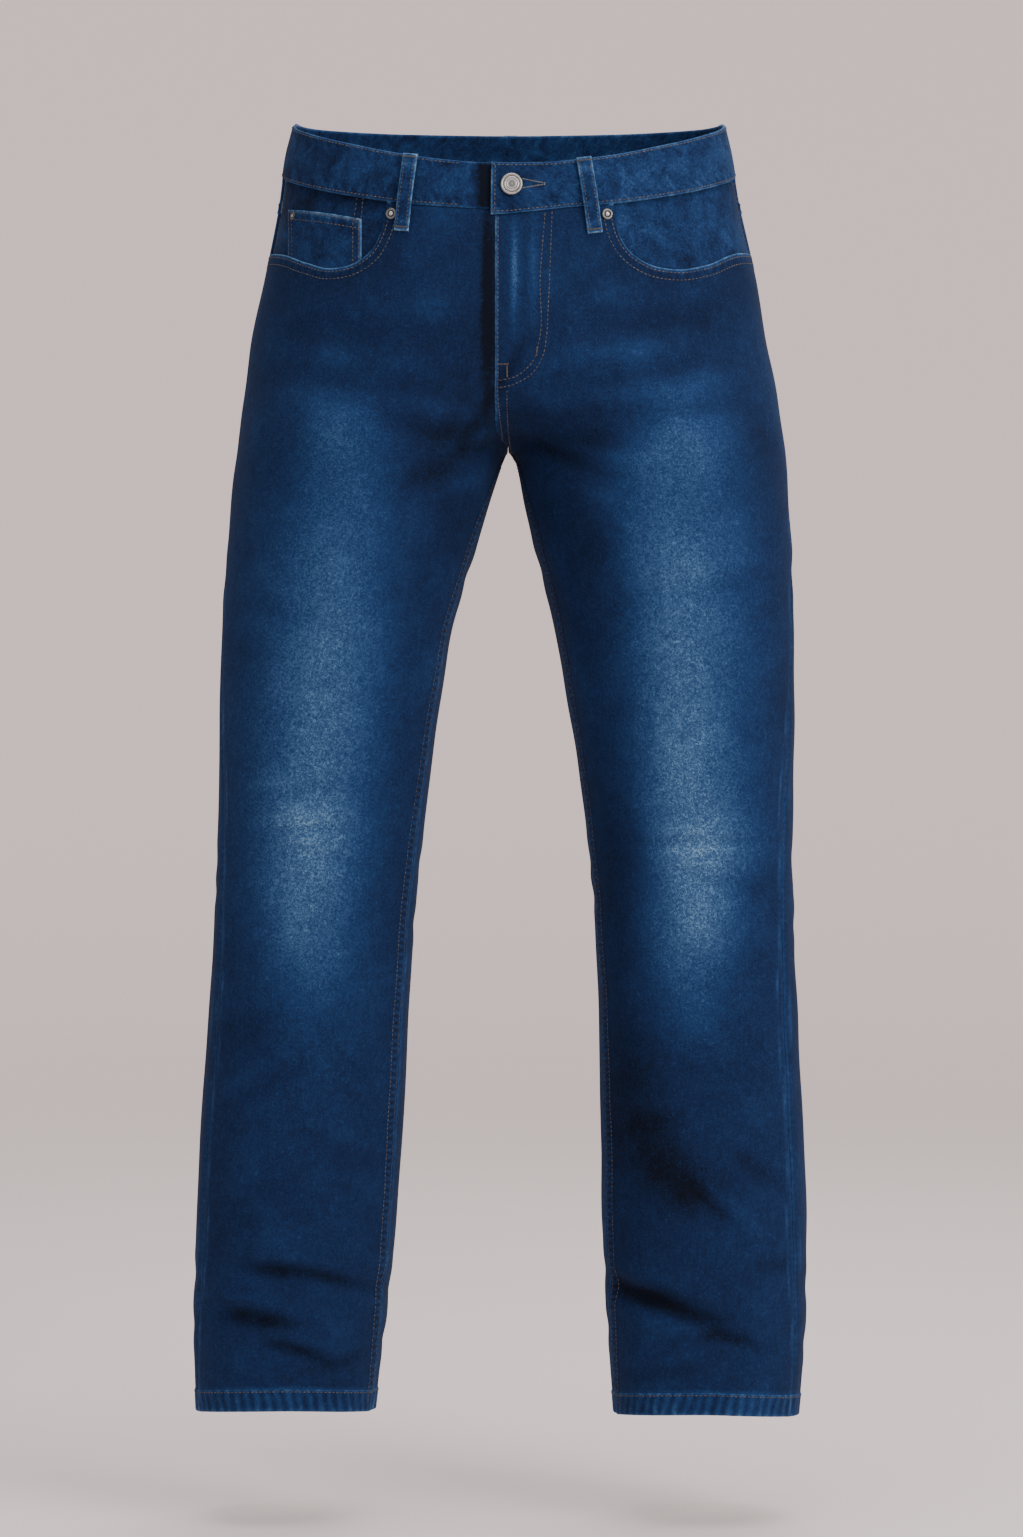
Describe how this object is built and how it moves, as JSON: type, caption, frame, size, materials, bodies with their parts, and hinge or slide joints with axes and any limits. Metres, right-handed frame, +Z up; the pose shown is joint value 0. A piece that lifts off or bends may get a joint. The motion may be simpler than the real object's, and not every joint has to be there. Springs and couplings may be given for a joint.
{
  "type": "straight leg jeans",
  "caption": "Dark indigo straight leg jeans as worn: a hollow denim shell with front scoop pockets, a coin pocket, back patch pockets, a zip fly, belt loops and open hems.",
  "frame": {"origin": "middle of the waist opening, at the height of the rim's middle, where the wearer holds the jeans up", "axes": "+Z up along the body, -Y out of the front, +X towards the wearer's left"},
  "size_m": [0.4913, 0.2501, 1.0443],
  "materials": {
    "denim": "washed dark indigo cotton twill, faded on the thighs and knees",
    "denim_facing": "unfaded dark indigo cotton twill",
    "pewter": "antiqued grey metal, softly worn",
    "zip_tape": "dark woven tape",
    "zip_brass": "satin brass"
  },
  "bodies": {
    "root": {"front_right": "denim", "front_left": "denim", "back_right": "denim", "back_left": "denim", "yoke_right": "denim", "yoke_left": "denim", "waistband": "denim", "coin_pocket": "denim", "back_pocket_right": "denim", "back_pocket_left": "denim", "belt_loop_front_right": "denim", "belt_loop_front_left": "denim", "belt_loop_side_right": "denim", "belt_loop_side_left": "denim", "belt_loop_centre_back": "denim", "pocket_facing_right": "denim_facing", "pocket_facing_left": "denim_facing", "fly_shield": "denim_facing", "button": "pewter", "rivet_scoop_right": "pewter", "rivet_scoop_left": "pewter", "rivet_coin_pocket": "pewter", "zip": "zip_tape", "zip_slider": "zip_brass"}
  },
  "joints": []
}
